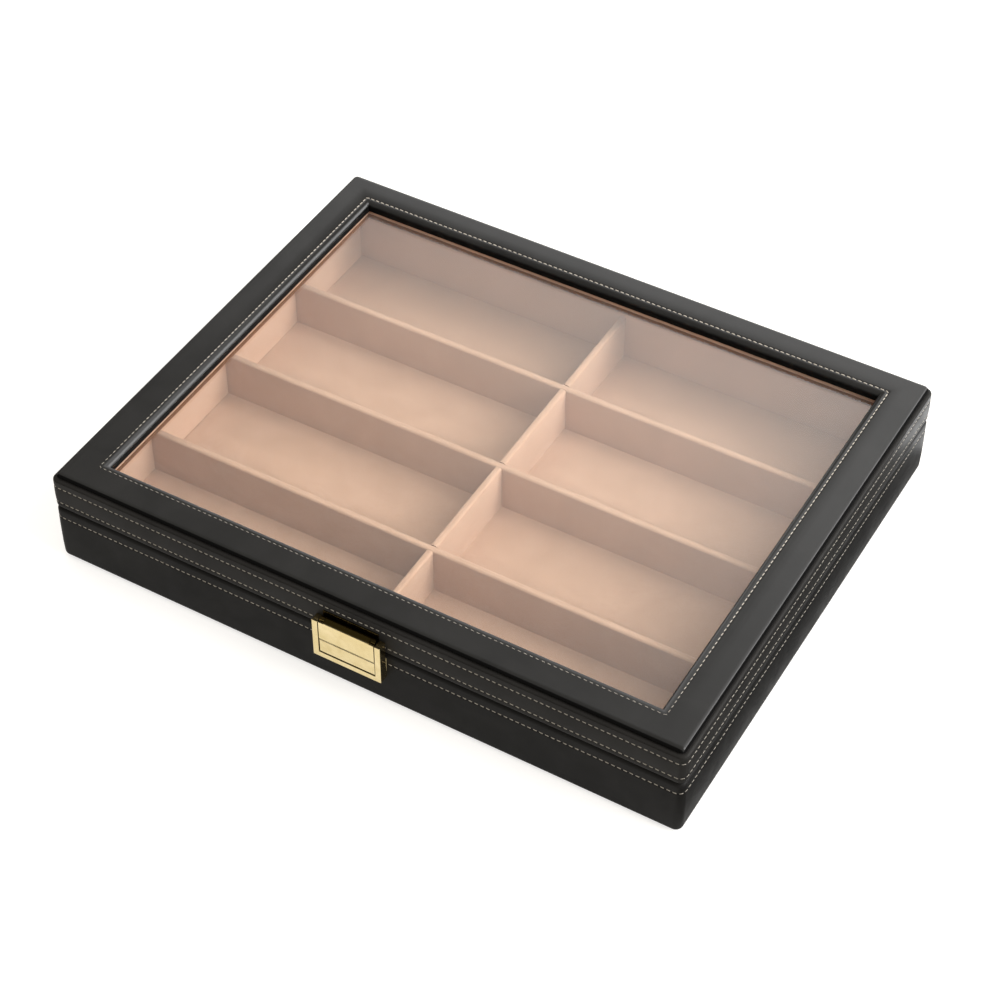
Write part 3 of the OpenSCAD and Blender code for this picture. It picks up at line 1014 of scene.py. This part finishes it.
@dataclass
class FrameCover(Assembly):
    """Leather over the window frame, sewn round the window."""

    name: str = "frame_cover"
    node: str = "frame_wrap"
    edge_h: float = 2.7 * MM
    corner_r: float = 2.8 * MM
    edge_r: float = 2.2 * MM
    low_r: float = 0.4 * MM
    low_lip: float = 8.0 * MM
    inset_w: float = 0.2 * MM
    window_x: float = 161.4 * MM
    window_y: float = 126.1 * MM
    window_r: float = 3.0 * MM
    seam_gap: float = 4.1 * MM
    seam_r: float = 1.0 * MM
    rings: tuple[float, ...] = (7.2, 4.7, 1.2, 0.6, 0.0, -0.6, -0.9)
    channel: float = 0.35 * MM
    crown: float = 0.2 * MM
    leather_t: float = 0.6 * MM

    def _ring(self, work: Workpiece, now: Vector, out: float) -> Vector:
        """Add one loop round the window on the top face.

        Args:
            work: The cover, with its inner top face selected.
            now: Half size of that face.
            out: Distance of the new loop from the window's edge.

        Returns:
            Half size of the new inner face.
        """
        step = self.inset_w
        target = Vector((self.window_x + out, self.window_y + out))
        work.inset(step)
        work.stretch((target.x / (now.x - step), target.y / (now.y - step), 1.0))
        return target

    def _past(self, place: Vector, out: float) -> float:
        """Tell how far a place lies outside a loop round the window."""
        return max(abs(place.x) - self.window_x - out, abs(place.y) - self.window_y - out)

    def build(self) -> None:
        """Build the cover with its rounded window edge, then sew its row."""
        low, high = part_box(self.node)
        foot = high.z - self.edge_h
        top = high.z - TINY
        work = Workpiece.block(self.name, Vector((low.x, low.y, foot)), high).round_corners(self.corner_r)
        work.round_rim(high.z, self.edge_r).round_rim(foot, self.low_r, 3)
        work.pick_faces(lambda c, n: n.z < -FLAT and c.z < foot + TINY)
        work.inset(self.corner_r - self.low_r - SLACK).weld(WELD_GAP)
        work.inset(self.low_lip).remove_faces()
        work.pick_faces(lambda c, n: n.z > FLAT and c.z > top)
        work.inset(self.corner_r - self.edge_r - SLACK).weld(WELD_GAP)
        now = Vector((high.x - self.corner_r + SLACK, high.y - self.corner_r + SLACK))
        for step in self.rings:
            now = self._ring(work, now, self.seam_gap + step * MM)
        self._ring(work, now, 0.0)
        work.extrude((0.0, 0.0, low.z - high.z)).remove_faces()
        side = CHANNEL_SIDE * self.channel
        drops = (-self.crown, -self.crown, 0.0, side, self.channel, side, 0.0)
        for step, drop in zip(self.rings, drops):
            if drop:
                out = self.seam_gap + step * MM
                work.pick_points(lambda co: co.z > top and abs(self._past(co, out)) < TINY)
                work.move((0.0, 0.0, -drop))
        work.pick_edges(
            lambda a, b: min(a.z, b.z) > top and max(self._past(a, 0.0), self._past(b, 0.0)) < TINY
        ).bevel(self.window_r, CORNER_STEPS)
        work.modify("SOLIDIFY", thickness=self.leather_t, offset=-1.0)
        self.keep(work.smooth(), FRAME_LEATHER, Body.LID, self.node)
        half_x, half_y = self.window_x + self.seam_gap, self.window_y + self.seam_gap
        level = high.z - self.channel + THREAD_RISE
        row = StitchRow("frame_stitches", half_x, half_y, self.seam_r, level)
        self.keep(row.build(), FRAME_THREAD, Body.LID)


# Velvet


@dataclass
class VelvetWork(Assembly):
    """Velvet inside one half of the case."""

    edge_r: float = 0.45 * MM

    def line_wall(self, body: Body, side: Side) -> None:
        """Build the lining of one wall.

        Args:
            body: The half that the wall belongs to.
            side: Which of its walls.
        """
        node = f"{body.value}_lining_{side.label}"
        work = Workpiece.block(f"velvet_{body.value}_{side.label}", *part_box(node))
        self.keep(work.soften(self.edge_r).smooth(), VELVET, body, node)


@dataclass
class VelvetTray(VelvetWork):
    """Velvet floor pad and wall linings of the base."""

    divider_t: float = 4.0 * MM
    row_pitch: float = 71.0 * MM
    dip_w: float = 5.0 * MM
    crown: float = 0.45 * MM
    crown_steps: tuple[float, ...] = (1.0, 0.4)
    pad: bpy.types.Object | None = field(default=None, init=False)

    def _floor(self) -> None:
        """Build the floor pad, a little crowned in every compartment."""
        low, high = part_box("floor_pad")
        work = Workpiece.block("velvet_floor", low, high).round_rim(high.z, self.edge_r, 3)
        work.slice(0, *(edge * self.divider_t for edge in EDGES))
        work.slice(1, *(row * self.row_pitch + edge * self.divider_t for row in ROWS for edge in EDGES))
        work.pick_faces(lambda c, n: n.z > FACING and c.z > high.z - TINY and self._in_compartment(c))
        for share in self.crown_steps:
            work.inset(self.dip_w, each=True).move((0.0, 0.0, share * self.crown))
        self.pad = work.smooth(SOFT_ANGLE)
        self.keep(self.pad, VELVET, Body.BASE, "floor_pad")

    def _in_compartment(self, place: Vector) -> bool:
        """Tell whether a place lies clear of every divider."""
        clear_of_rows = all(abs(place.y - row * self.row_pitch) > self.divider_t for row in ROWS)
        return abs(place.x) > self.divider_t and clear_of_rows

    def build(self) -> None:
        """Build the floor and the four linings."""
        self._floor()
        for side in Side:
            self.line_wall(Body.BASE, side)

    def dress(self) -> None:
        """Dress the tray."""
        super().dress()


@dataclass
class Dividers(Assembly):
    """Velvet-covered boards that cross at slots half their height."""

    crest_r: float = 1.3 * MM
    crest_steps: int = 5
    slot_w: float = 4.2 * MM
    row_pitch: float = 71.0 * MM

    def _board(self, label: str, along: int, slots: Sequence[float], up: bool) -> None:
        """Build one board with its slots and its rounded crest.

        Args:
            label: Last word of its node's name.
            along: Axis that it runs along, 0 for X and 1 for Y.
            slots: Middles of its slots along that axis.
            up: Whether the slots open upwards.
        """
        node = f"divider_{label}"
        low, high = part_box(node)
        middle = (low.z + high.z) / 2
        start, end = (low.z, middle) if up else (middle, high.z)
        corners = Vector((low.x, low.y, start)), Vector((high.x, high.y, end))
        work = Workpiece.block(f"velvet_divider_{label}", *corners)
        work.slice(along, *(slot + edge * self.slot_w for slot in slots for edge in EDGES))
        face = 1 if up else -1
        half = self.slot_w / 2
        work.pick_faces(
            lambda c, n: n.z * face > FACING and all(abs(c[along] - slot) > half for slot in slots)
        )
        work.extrude((0, 0, face * (end - start)))
        work.pick_edges(
            lambda a, b: min(a.z, b.z) > high.z - TINY and abs(a[along] - b[along]) > TINY
        ).bevel(self.crest_r, self.crest_steps)
        self.keep(work.smooth(SOFT_ANGLE), VELVET, Body.BASE, node)

    def build(self) -> None:
        """Build the long board and the three that cross it."""
        self._board("centre", 1, [row * self.row_pitch for row in ROWS], True)
        for label in ("front", "middle", "back"):
            self._board(label, 0, [0.0], False)


@dataclass
class FeltFoot(Assembly):
    """Felt sheet glued under the base."""

    corner_r: float = 4.2 * MM
    fray: float = 0.25 * MM
    sheet: bpy.types.Object | None = field(default=None, init=False)

    def build(self) -> None:
        """Build the sheet with its cut corners and soft edge."""
        low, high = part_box("felt_sheet")
        work = Workpiece.block("felt_foot", low, high).round_corners(self.corner_r, EDGE_STEPS)
        self.sheet = work.round_rim(low.z, self.fray, 2).smooth(SOFT_ANGLE)
        self.keep(self.sheet, FELT, Body.BASE, "felt_sheet")

    def dress(self) -> None:
        super().dress()


@dataclass
class LidInside(VelvetWork):
    """Velvet linings and beads of the lid, and the pane that they carry."""

    lip_h: float = 2.4 * MM
    lip_r: float = 0.7 * MM
    lip_steps: int = 4
    cove: float = 0.5 * MM
    cove_h: float = 0.2 * MM
    arris: float = 0.25 * MM

    def _bead(self, side: Side) -> None:
        """Build one bead, hollowed under its lip and mitred at its ends."""
        node = f"bead_{side.label}"
        low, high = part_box(node)
        across, along = (0, 1) if side.value[0] else (1, 0)
        inner, outer = low[across], high[across]
        if side.value[across] < 0:
            inner, outer = outer, inner
        way = math.copysign(1.0, outer - inner)
        lip = high.z - self.lip_h
        work = Workpiece.block(f"velvet_bead_{side.label}", low, high).slice(2, lip, lip - self.cove_h)
        away = [0.0, 0.0, 0.0]
        away[across] = way * self.cove
        work.pick_points(lambda co: co.z < lip - TINY and abs(co[across] - inner) < TINY).move(away)
        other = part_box("bead_left" if along == 0 else "bead_front")
        for end in ENDS:
            point = [0.0, 0.0, 0.0]
            point[across], point[along] = outer, end * high[along]
            normal = [0.0, 0.0, 0.0]
            normal[across] = -way * (other[1][along] - other[0][along])
            normal[along] = end * abs(outer - inner)
            work.cut(point, normal, drop=True)
        work.pick_edges(
            lambda a, b: max(abs(a[across] - inner), abs(b[across] - inner)) < TINY
            and abs(a[along] - b[along]) > MM
        ).bevel(self.lip_r, self.lip_steps)
        self.keep(work.smooth(SOFT_ANGLE), BEAD_VELVET, Body.LID, node)

    def build(self) -> None:
        """Build linings, beads and pane."""
        for side in Side:
            self.line_wall(Body.LID, side)
            self._bead(side)
        pane = Workpiece.block("window_pane", *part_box("pane")).soften(self.arris, 2)
        self.keep(pane.smooth(HARD_ANGLE), PANE, Body.LID, "pane")


# Metal


@dataclass
class Latch(Assembly):
    """Flap latch: keeper on the base, bracket on the lid, and the flap."""

    rim_w: float = 3.3 * MM
    plate_t: float = 0.8 * MM
    plate_top: float = 35.1 * MM
    arm_gap: float = 0.5 * MM
    edge_r: float = 0.45 * MM
    flap_t: float = 1.1 * MM
    flap_r: float = 0.25 * MM
    flap_angle: float = 40.0
    flap_top: float = 1.1 * MM
    flap_step: float = 0.3 * MM
    crease: float = 0.75 * MM
    crease_up: float = 0.2 * MM
    crease_down: float = 1.4 * MM
    grip_h: float = 9.5 * MM
    bend_r: float = 2.2 * MM
    knuckle_r: float = 1.6 * MM
    knuckle_gap: float = 0.3 * MM
    end_knuckle: float = 2.6 * MM
    dish_rim: float = 0.6 * MM
    dish_h: float = 0.3 * MM
    boss_r: float = 3.0 * MM
    boss_h: float = 3.2 * MM
    boss_sink: float = 0.3 * MM
    boss_rim: float = 0.4 * MM
    boss_crown: float = 0.2 * MM
    panel_rim: float = 1.0 * MM
    panel_h: float = 0.15 * MM
    panel_r: float = 0.2 * MM
    web_r: float = 0.15 * MM
    sides: int = 24

    def _keeper(self) -> None:
        """Build the keeper: a sill with two arms, a back plate and a stop boss."""
        low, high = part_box("latch_keeper")
        sill = low.z + self.rim_w
        slot = high.x - self.rim_w
        back = high.y - self.arm_gap
        work = Workpiece.block("latch_keeper_plate", low, Vector((high.x, high.y, sill)))
        work.slice(0, slot, -slot).slice(1, back)
        work.pick_faces(lambda c, n: n.z > FACING and c.y < back and abs(c.x) > slot)
        work.extrude((0, 0, high.z - sill))
        work.pick_faces(lambda c, n: n.z > FACING and c.y > back)
        work.extrude((0, 0, self.plate_top - sill))
        work.soften(self.edge_r)
        depth = high.y - self.plate_t - self.boss_h / 2 + self.boss_sink
        middle = Vector((0, depth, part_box("latch_flap")[0].z + self.grip_h / 2))
        boss = Workpiece.rod("boss", middle, self.boss_r, self.boss_h, (QUARTER, 0, 0), self.sides)
        boss.pick_faces(lambda c, n: n.y < -FACING).inset(self.boss_rim).move((0, -self.boss_crown, 0))
        self.keep(work.join(boss).smooth(), GILT, Body.BASE, "latch_keeper")

    def _barrel(self, name: str, x: float, length: float, axis: Vector) -> Workpiece:
        """Build one knuckle on the latch's axis, dished at its ends.

        Args:
            name: Name of the knuckle.
            x: Its middle along the axis.
            length: Its length.
            axis: A point of the axis.

        Returns:
            The knuckle on the bench.
        """
        middle = Vector((x, axis.y, axis.z))
        work = Workpiece.rod(name, middle, self.knuckle_r, length, (0, QUARTER, 0), self.sides)
        for way in ENDS:
            work.pick_faces(lambda c, n: n.x * way > FACING).inset(self.dish_rim)
            work.extrude((-way * self.dish_h, 0, 0))
        return work

    def _flap(self, axis: Vector) -> None:
        """Build the flap: a stepped plate whose top bends back to its knuckle."""
        low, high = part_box("latch_flap")
        front = low.y
        shoulder = axis.z + self.flap_top - self.bend_r
        middle = high.x - self.end_knuckle - self.knuckle_gap
        step = low.z + self.grip_h
        work = Workpiece.block("latch_flap_plate", low, Vector((high.x, front + self.flap_t, shoulder)))
        work.slice(2, step - self.crease_down, step, step + self.crease_up)
        work.pick_points(lambda co: co.z < step + TINY).move((0, self.flap_step, 0))
        groove = front + self.flap_step + TINY
        work.pick_points(lambda co: abs(co.z - step) < TINY and co.y < groove).move((0, self.crease, 0))
        work.slice(0, middle, -middle)
        work.pick_faces(lambda c, n: n.z > FACING and c.z > shoulder - TINY and abs(c.x) > middle)
        work.extrude((0, 0, axis.z - shoulder))
        work.pick_faces(lambda c, n: n.z > FACING and abs(c.z - shoulder) < TINY and abs(c.x) < middle)
        bend = (0, front + self.bend_r, shoulder)
        bpy.ops.mesh.spin(steps=EDGE_STEPS, angle=QUARTER, center=bend, axis=(1, 0, 0))
        work.extrude((0, axis.y - front - self.bend_r, 0))
        work.pick_points(lambda co: True)
        bpy.ops.mesh.normals_make_consistent(inside=False)
        work.soften(self.flap_r, 2, self.flap_angle)
        work.join(self._barrel("flap_knuckle", 0.0, 2 * middle, axis))
        self.keep(work.smooth(HARD_ANGLE), FLAP_GILT, Body.FLAP, "latch_flap")

    def _bracket(self, axis: Vector) -> None:
        """Build the bracket: a plate on the lid with two end knuckles."""
        low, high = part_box("latch_bracket")
        plate = Workpiece.block("latch_bracket_plate", Vector((low.x, high.y - self.plate_t, low.z)), high)
        plate.pick_faces(lambda c, n: n.y < -FACING).inset(self.panel_rim).move((0, self.panel_h, 0))
        plate.soften(self.panel_r, 2)
        half = self.end_knuckle / 2
        ends = []
        for way in ENDS:
            x = way * (high.x - half)
            ends.append(self._barrel(f"end_{way}", x, self.end_knuckle, axis))
            foot = Vector((x - half, axis.y, axis.z - self.knuckle_r))
            web = Workpiece.block(f"web_{way}", foot, Vector((x + half, high.y, axis.z)))
            ends.append(web.soften(self.web_r, 2))
        self.keep(plate.join(*ends).smooth(), BRONZE, Body.LID, "latch_bracket")

    def build(self) -> None:
        """Build keeper, flap and bracket."""
        axis = Vector(joint_spot("latch_hinge"))
        self._keeper()
        self._flap(axis)
        self._bracket(axis)


@dataclass
class HingeScrews(Assembly):
    """Countersunk screws in the leaves of the two rear hinges."""

    head_r: float = 1.7 * MM
    head_t: float = 0.5 * MM
    head_rim: float = 0.3 * MM
    crown: float = 0.06 * MM
    sides: int = 20
    slot_w: float = 0.5 * MM
    slot_h: float = 0.25 * MM
    spread: float = 13.0 * MM
    edge_gap: float = 2.9 * MM
    sink: float = 0.38 * MM

    def _screw(self, name: str, middle: Vector, way: int) -> Workpiece:
        """Model one slotted head, low and crowned.

        Args:
            name: Name of the screw.
            middle: Middle of its head.
            way: 1 where the head looks up, -1 where it looks down.

        Returns:
            The screw on the bench.
        """
        work = Workpiece.rod(name, middle, self.head_r, self.head_t, (0, 0, 0), self.sides)
        work.pick_faces(lambda c, n: n.z * way > FACING).inset(self.head_rim).move((0, 0, way * self.crown))
        work.slice(0, *(middle.x + edge * self.slot_w for edge in EDGES))
        work.pick_faces(
            lambda c, n: n.z * way > FACING
            and (c.z - middle.z) * way > self.head_t / 2
            and abs(c.x - middle.x) < self.slot_w / 2
        )
        return work.extrude((0, 0, -way * self.slot_h))

    def build(self) -> None:
        """Sink three screws into each leaf of both hinges."""
        seam = joint_spot("lid_hinge")[2]
        for body, way in ((Body.BASE, 1), (Body.LID, -1)):
            first: Workpiece | None = None
            home = Vector((0.0, 0.0, 0.0))
            for hand in ("left", "right"):
                low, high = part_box(f"hinge_leaf_{body.value}_{hand}")
                for count, row in enumerate(ROWS, 1):
                    x = (low.x + high.x) / 2 + row * self.spread
                    spot = Vector((x, low.y + self.edge_gap, seam - way * self.sink))
                    name = f"hinge_screw_{body.value}_{hand}_{count}"
                    if first is None:
                        work = first = self._screw(name, spot, way)
                        home = spot
                    else:
                        work = first.copy(name, spot - home)
                    self.keep(work.smooth(), GILT, body)


@dataclass
class CadParts(Assembly):
    """CAD parts whose own shape shows or lies hidden under the covers."""

    finishes: dict[str, Finish] = field(
        default_factory=lambda: {"board": BOARD, "felt": FELT, "velvet": VELVET, "brass": GILT}
    )

    def build(self) -> None:
        """Nothing to build: these shapes come with the frame."""

    def dress(self) -> None:
        """Give every CAD part that still shows its finish."""
        slots = {part["node"]: part["material_slot"] for part in frame["record"]["subparts"]}
        for name, obj in frame["nodes"].items():
            if obj.hide_render:
                continue
            finish = STAINED_BOARD if name.startswith("frame_") else self.finishes[slots[name]]
            obj.data.materials.clear()
            obj.data.materials.append(finish.material())
            log.info("%s keeps its CAD shape in %s", name, finish.label)


# Stage, light and camera


@dataclass(frozen=True)
class PhotoCamera:
    """Camera at the photograph's viewing angle."""

    azimuth: float = 29.76
    elevation: float = 45.31
    roll: float = 0.4
    distance: float = 1246.41 * MM
    aim: Triple = (26.25 * MM, -46.08 * MM, 61.0 * MM)
    lens: float = 87.52
    sensor: float = 36.0
    nearest: float = 0.05

    def place(self) -> None:
        """Add the camera and make it the scene's own."""
        az, el, roll = (math.radians(v) for v in (self.azimuth, self.elevation, self.roll))
        back = Vector((math.sin(az) * math.cos(el), -math.cos(az) * math.cos(el), math.sin(el)))
        right = Vector((math.cos(az), math.sin(az), 0.0))
        up = back.cross(right)
        side = math.cos(roll) * right + math.sin(roll) * up
        head = math.cos(roll) * up - math.sin(roll) * right
        clear_selection()
        bpy.ops.object.camera_add(location=Vector(self.aim) + back * self.distance)
        camera = bpy.context.object
        camera.rotation_euler = Matrix((side, head, back)).transposed().to_euler()
        camera.data.lens = self.lens
        camera.data.sensor_width = self.sensor
        camera.data.clip_start = self.nearest
        bpy.context.scene.camera = camera


@dataclass(frozen=True)
class Softbox:
    """Square lamp that points at the middle of the case."""

    name: str
    spot: Triple
    size: float
    watts: float
    tint: Colour = (1.0, 0.99, 0.98)

    def hang(self) -> None:
        """Add the lamp."""
        clear_selection()
        bpy.ops.object.light_add(type="AREA", location=self.spot)
        lamp = bpy.context.object
        lamp.name = self.name
        lamp.data.shape = "SQUARE"
        lamp.data.size = self.size
        lamp.data.energy = self.watts
        lamp.data.color = self.tint
        lamp.rotation_euler = (-Vector(self.spot)).to_track_quat("-Z", "Y").to_euler()


@dataclass(frozen=True)
class Card:
    """Card on the floor that only reflections see."""

    name: str
    middle: tuple[float, float]
    half: tuple[float, float]
    glow: float
    height: float = 0.5 * MM

    def lay(self) -> None:
        """Add the card."""
        clear_selection()
        bpy.ops.mesh.primitive_plane_add(size=2.0, location=(*self.middle, self.height))
        card = bpy.context.object
        card.name = self.name
        card.scale = (*self.half, 1.0)
        made, sheet = new_material(self.name)
        light = sheet.add("ShaderNodeEmission", {"Strength": self.glow}).outputs[0]
        sheet.add("ShaderNodeOutputMaterial", {"Surface": light})
        card.data.materials.append(made)
        card.visible_camera = False
        card.visible_diffuse = False
        card.visible_transmission = False
        card.visible_shadow = False


@dataclass(frozen=True)
class Studio:
    """Plain white floor, pale surroundings, cards and soft lamps."""

    floor_half: float = 3.0
    floor_tone: float = 0.55
    floor_lift: float = 0.62
    ambient: float = 0.92
    ambient_tint: Colour = (1.08, 1.0, 0.88)
    ceiling: float = 0.16
    backdrop: float = 2.6
    backdrop_way: Triple = (0.327, 0.917, -0.226)
    backdrop_span: tuple[float, float] = (0.2, 0.426)
    glint: float = 9.0
    glint_way: Triple = (0.7, 0.61, 0.338)
    glint_span: tuple[float, float] = (0.9, 0.97)
    cards: tuple[Card, ...] = (
        Card("studio_black_card", (0.69, -0.07), (0.5, 0.23), 0.01),
        Card("studio_white_card", (0.3, 0.3), (0.11, 0.14), 5.0),
    )
    lamps: tuple[Softbox, ...] = (
        Softbox("side_softbox", (3.0, 0.3, 1.5), 2.0, 76.0),
        Softbox("top_softbox", (2.4, 0.6, 2.4), 2.0, 54.0),
    )

    def _floor(self) -> None:
        """Lay the floor: pale, with the object's shadow, white to the camera."""
        clear_selection()
        bpy.ops.mesh.primitive_plane_add(size=2 * self.floor_half)
        floor = bpy.context.object
        floor.name = "studio_floor"
        made, sheet = new_material("studio_white")
        path = sheet.add("ShaderNodeLightPath").outputs
        seen = sheet.math("MAXIMUM", path["Is Camera Ray"], path["Is Glossy Ray"])
        glow = sheet.add("ShaderNodeEmission", {"Strength": sheet.math("MULTIPLY", seen, self.floor_lift)})
        tone = self.floor_tone
        matt = sheet.add("ShaderNodeBsdfDiffuse", {"Color": (tone, tone, tone, 1.0)})
        total = sheet.add("ShaderNodeAddShader", {0: matt.outputs[0], 1: glow.outputs[0]})
        sheet.add("ShaderNodeOutputMaterial", {"Surface": total.outputs[0]})
        floor.data.materials.append(made)

    @staticmethod
    def _toward(sheet: NodeSheet, way: Sequence[float]) -> Socket:
        """Tell how far a ray points a given way."""
        feeds = {0: sheet.spot("Generated"), 1: way}
        return sheet.add("ShaderNodeVectorMath", feeds, operation="DOT_PRODUCT").outputs["Value"]

    @staticmethod
    def _sky(sheet: NodeSheet, tint: Colour, strength: Feed) -> Socket:
        """Give surroundings of one tint."""
        feeds = {"Color": (*tint, 1.0), "Strength": strength}
        return sheet.add("ShaderNodeBackground", feeds).outputs[0]

    def _world(self) -> None:
        """Set white for the camera, and a bright backdrop under a dim ceiling."""
        world = bpy.data.worlds.new("studio")
        bpy.context.scene.world = world
        world.use_nodes = True
        sheet = NodeSheet(world.node_tree)
        path = sheet.add("ShaderNodeLightPath").outputs
        direct = sheet.math("LESS_THAN", path["Diffuse Depth"], 0.5)
        seen = sheet.math("MAXIMUM", path["Is Camera Ray"], path["Is Transmission Ray"])
        shown = sheet.math("MULTIPLY", seen, direct)
        mirrored = sheet.math("MULTIPLY", path["Is Glossy Ray"], direct)
        far = sheet.ramp(
            self._toward(sheet, self.backdrop_way), *self.backdrop_span, self.ceiling, self.backdrop
        )
        glint = sheet.ramp(self._toward(sheet, self.glint_way), *self.glint_span, 0.0, self.glint)
        mirror = self._sky(sheet, WHITE, sheet.math("MAXIMUM", far, glint))
        light = sheet.choose(mirrored, self._sky(sheet, self.ambient_tint, self.ambient), mirror)
        surface = sheet.choose(shown, light, self._sky(sheet, WHITE, 1.0))
        sheet.add("ShaderNodeOutputWorld", {"Surface": surface})

    def set_up(self) -> None:
        """Lay the floor and the cards, set the surroundings and hang the lamps."""
        bpy.context.scene.view_settings.view_transform = "Standard"
        self._floor()
        for card in self.cards:
            card.lay()
        self._world()
        for lamp in self.lamps:
            lamp.hang()


def main() -> None:
    """Build and dress the case, then set the stage."""
    logging.basicConfig(level=logging.INFO, format="%(name)s: %(message)s")
    assemblies: tuple[Assembly, ...] = (
        WallCover(
            name="base_cover",
            node="base_wrap",
            body=Body.BASE,
            top_r=2.4 * MM,
            low_r=3.4 * MM,
            rows=(30.6 * MM,),
            crowns=(11.0 * MM, 17.0 * MM, 23.0 * MM),
            low_lip=12.0 * MM,
            finish=WALL_LEATHER,
        ),
        WallCover(
            name="lid_cover",
            node="lid_wrap",
            body=Body.LID,
            top_r=1.7 * MM,
            low_r=2.4 * MM,
            rows=(52.7 * MM, 42.0 * MM),
            crowns=(47.3 * MM,),
            low_lip=6.2 * MM,
            finish=BAND_LEATHER,
            creases=(56.9 * MM,),
        ),
        FrameCover(),
        VelvetTray(),
        Dividers(),
        FeltFoot(),
        LidInside(),
        Latch(),
        HingeScrews(),
        CadParts(),
    )
    for assembly in assemblies:
        assembly.build()
        assembly.dress()
        for piece in assembly.made:
            faces = len(piece.obj.data.polygons)
            log.info("%s: %d faces, rides on %s", piece.obj.name, faces, piece.body.value)
    PhotoCamera().place()
    Studio().set_up()


if __name__ == "__main__":
    main()
